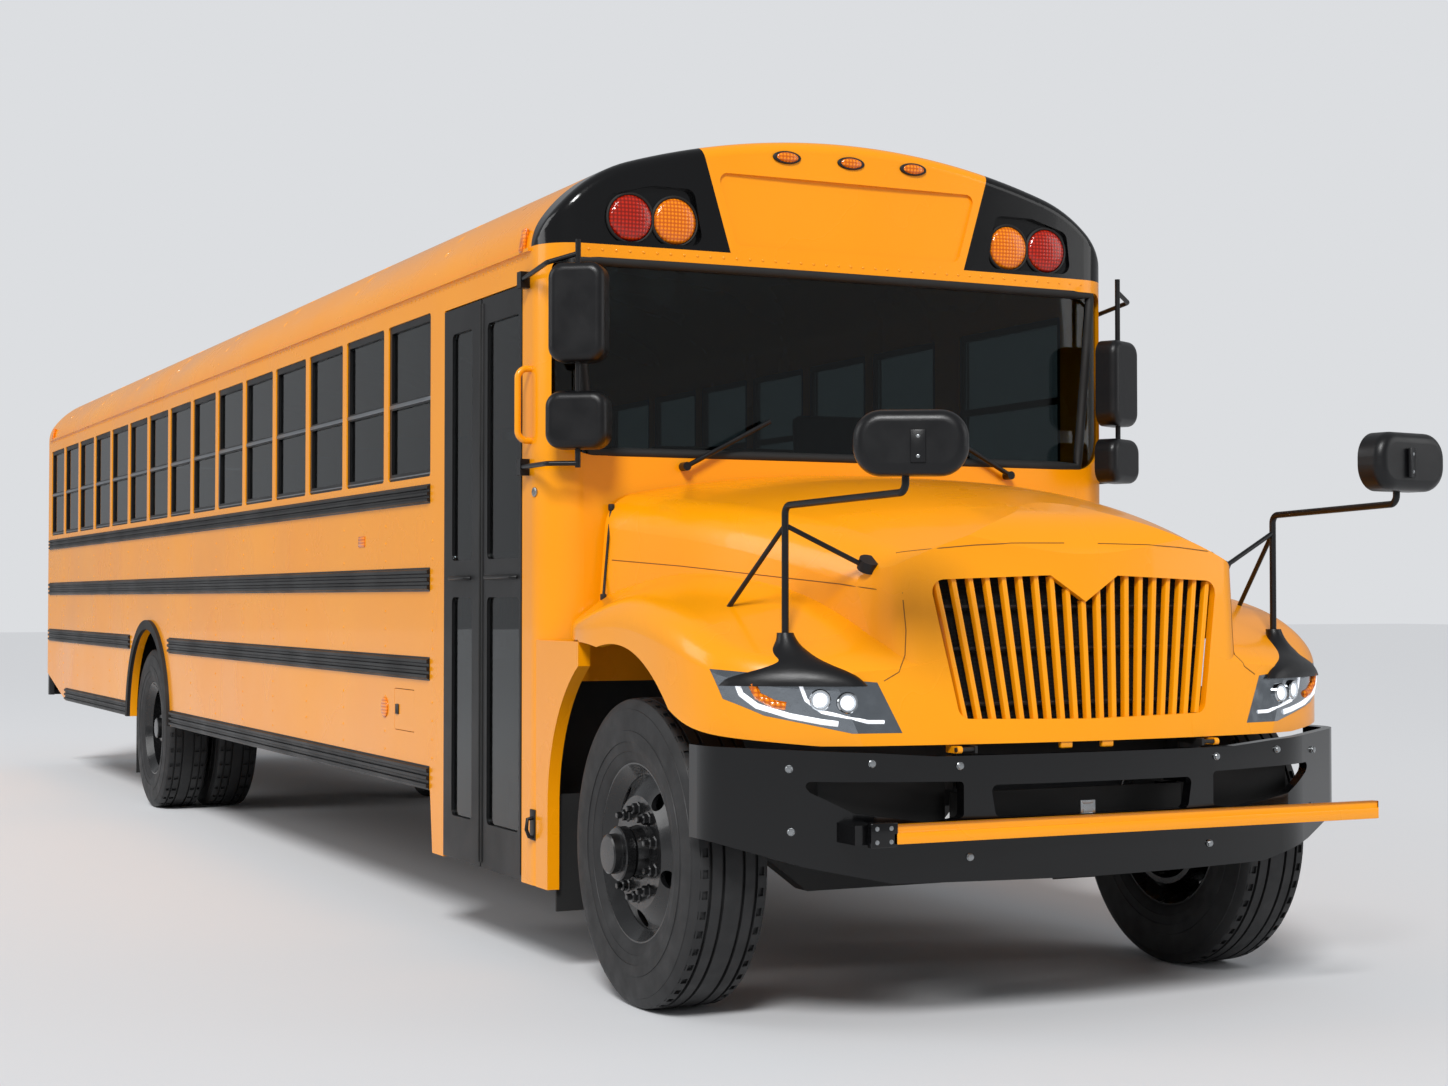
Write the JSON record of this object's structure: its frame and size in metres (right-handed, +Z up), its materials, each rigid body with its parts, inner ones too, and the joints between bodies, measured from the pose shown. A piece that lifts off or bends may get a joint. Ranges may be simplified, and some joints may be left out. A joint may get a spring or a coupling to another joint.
{
  "type": "school bus",
  "caption": "Long-nosed school bus with ribbed side rails, a row of sash windows, folding entry door, warning lamps, stop arm and a front crossing gate.",
  "frame": {"origin": "on the ground, at the middle of the box that holds the whole bus", "axes": "+X to the bus's left (driver's) side, +Y to its rear, +Z up"},
  "size_m": [2.562, 13.3958, 3.0587],
  "materials": {
    "body_yellow": "semi-gloss school-bus yellow enamel",
    "gloss_black": "gloss black enamel",
    "chassis_black": "satin black chassis paint",
    "spring_steel": "painted spring steel",
    "engine_grey": "painted cast iron",
    "exhaust_steel": "heat-dulled steel",
    "floor_rubber": "ribbed floor rubber",
    "tinted_glass": "tinted safety glass",
    "sash_black": "satin black powder coat",
    "rail_black": "satin black ribbed rail",
    "rubber_black": "moulded black rubber",
    "lamp_red": "red prismatic lens",
    "lamp_amber": "amber prismatic lens",
    "lamp_clear": "clear lens over a chrome and black housing",
    "seat_vinyl": "dark grained vinyl",
    "dash_plastic": "grained black plastic",
    "mirror_black": "textured black plastic and painted tube",
    "sign_red": "blank red enamel with a white border",
    "wheel_black": "gloss black steel wheel",
    "tyre": "black tyre rubber"
  },
  "bodies": {
    "body": {"frame_rails": "chassis_black", "front_axle": "chassis_black", "rear_axle": "chassis_black", "leaf_springs": "spring_steel", "engine_and_radiator": "engine_grey", "fuel_tank": "chassis_black", "exhaust": "exhaust_steel", "floor": "floor_rubber", "entry_steps": "floor_rubber", "wheelhouses": "floor_rubber", "side_wall_right": "body_yellow", "side_wall_left": "body_yellow", "rear_wall": "body_yellow", "roof": "body_yellow", "front_cap": "body_yellow", "lamp_hoods": "gloss_black", "cowl": "body_yellow", "windshield": "tinted_glass", "window_sashes": "sash_black", "window_glass": "tinted_glass", "rub_rails": "rail_black", "wheel_arch_trims": "rubber_black", "red_lamps": "lamp_red", "amber_lamps": "lamp_amber", "front_bumper": "gloss_black", "rear_bumper": "gloss_black", "bench_seats": "seat_vinyl", "driver_seat": "seat_vinyl", "dashboard": "dash_plastic", "steering_wheel": "dash_plastic", "side_mirrors": "mirror_black", "wipers": "mirror_black", "mud_flaps": "rubber_black", "grab_handle": "body_yellow"},
    "hood": {"hood": "body_yellow", "grille": "body_yellow", "headlamps": "lamp_clear", "crossview_mirrors": "mirror_black"},
    "entry_front": {"entry_leaf_front": "sash_black", "entry_glass_front": "tinted_glass"},
    "entry_rear": {"entry_leaf_rear": "sash_black", "entry_glass_rear": "tinted_glass"},
    "rear_exit": {"rear_door": "body_yellow", "rear_door_glass": "tinted_glass"},
    "gate": {"crossing_gate": "body_yellow"},
    "stop_sign": {"stop_arm": "sign_red"},
    "fuel_lid": {"fuel_door": "body_yellow"},
    "steer_left": {"knuckle_left": "chassis_black"},
    "steer_right": {"knuckle_right": "chassis_black"},
    "front_wheel_left": {"front_wheel_left": "wheel_black", "front_tyre_left": "tyre"},
    "rear_wheels_left": {"rear_wheel_left": "wheel_black", "rear_tyres_left": "tyre"},
    "front_wheel_right": {"front_wheel_right": "wheel_black", "front_tyre_right": "tyre"},
    "rear_wheels_right": {"rear_wheel_right": "wheel_black", "rear_tyres_right": "tyre"}
  },
  "joints": [
    {"name": "hood_tilt", "type": "hinge", "parent": "body", "child": "hood", "pos_m": [0, -6.18111, 0.874], "axis": [1, 0, 0], "range_deg": [0, 60]},
    {"name": "entry_door", "type": "hinge", "parent": "body", "child": "entry_front", "pos_m": [-1.225, -4.35681, 1.4], "axis": [0, 0, 1], "range_deg": [0, 85]},
    {"name": "entry_door_rear_leaf", "type": "hinge", "parent": "body", "child": "entry_rear", "pos_m": [-1.225, -3.46541, 1.4], "axis": [0, 0, 1], "range_deg": [-85, 0]},
    {"name": "rear_door_swing", "type": "hinge", "parent": "body", "child": "rear_exit", "pos_m": [-0.38, 6.59589, 1.76], "axis": [0, 0, 1], "range_deg": [0, 100]},
    {"name": "crossing_gate_swing", "type": "hinge", "parent": "body", "child": "gate", "pos_m": [-0.83, -6.22711, 0.635], "axis": [0, 0, 1], "range_deg": [-90, 0]},
    {"name": "stop_arm_swing", "type": "hinge", "parent": "body", "child": "stop_sign", "pos_m": [1.281, -4.17311, 1.59], "axis": [0, 0, 1], "range_deg": [-90, 0]},
    {"name": "fuel_door_swing", "type": "hinge", "parent": "body", "child": "fuel_lid", "pos_m": [-1.222, -3.08611, 0.8665], "axis": [0, 0, 1], "range_deg": [0, 100]},
    {"name": "steering_left", "type": "hinge", "parent": "body", "child": "steer_left", "pos_m": [0.905, -5.29111, 0.505], "axis": [0, 0, 1], "range_deg": [-38, 38]},
    {"name": "steering_right", "type": "hinge", "parent": "body", "child": "steer_right", "pos_m": [-0.905, -5.29111, 0.505], "axis": [0, 0, 1], "range_deg": [-38, 38]},
    {"name": "front_wheel_spin_left", "type": "hinge", "parent": "steer_left", "child": "front_wheel_left", "pos_m": [1.057, -5.29111, 0.505], "axis": [1, 0, 0], "continuous": true},
    {"name": "rear_wheel_spin_left", "type": "hinge", "parent": "body", "child": "rear_wheels_left", "pos_m": [0.9015, 2.50689, 0.505], "axis": [1, 0, 0], "continuous": true},
    {"name": "front_wheel_spin_right", "type": "hinge", "parent": "steer_right", "child": "front_wheel_right", "pos_m": [-1.057, -5.29111, 0.505], "axis": [1, 0, 0], "continuous": true},
    {"name": "rear_wheel_spin_right", "type": "hinge", "parent": "body", "child": "rear_wheels_right", "pos_m": [-0.9015, 2.50689, 0.505], "axis": [1, 0, 0], "continuous": true}
  ],
  "couplings": [
    {"joint": "entry_door_rear_leaf", "follows": "entry_door", "ratio": -1},
    {"joint": "steering_right", "follows": "steering_left", "ratio": 1}
  ]
}
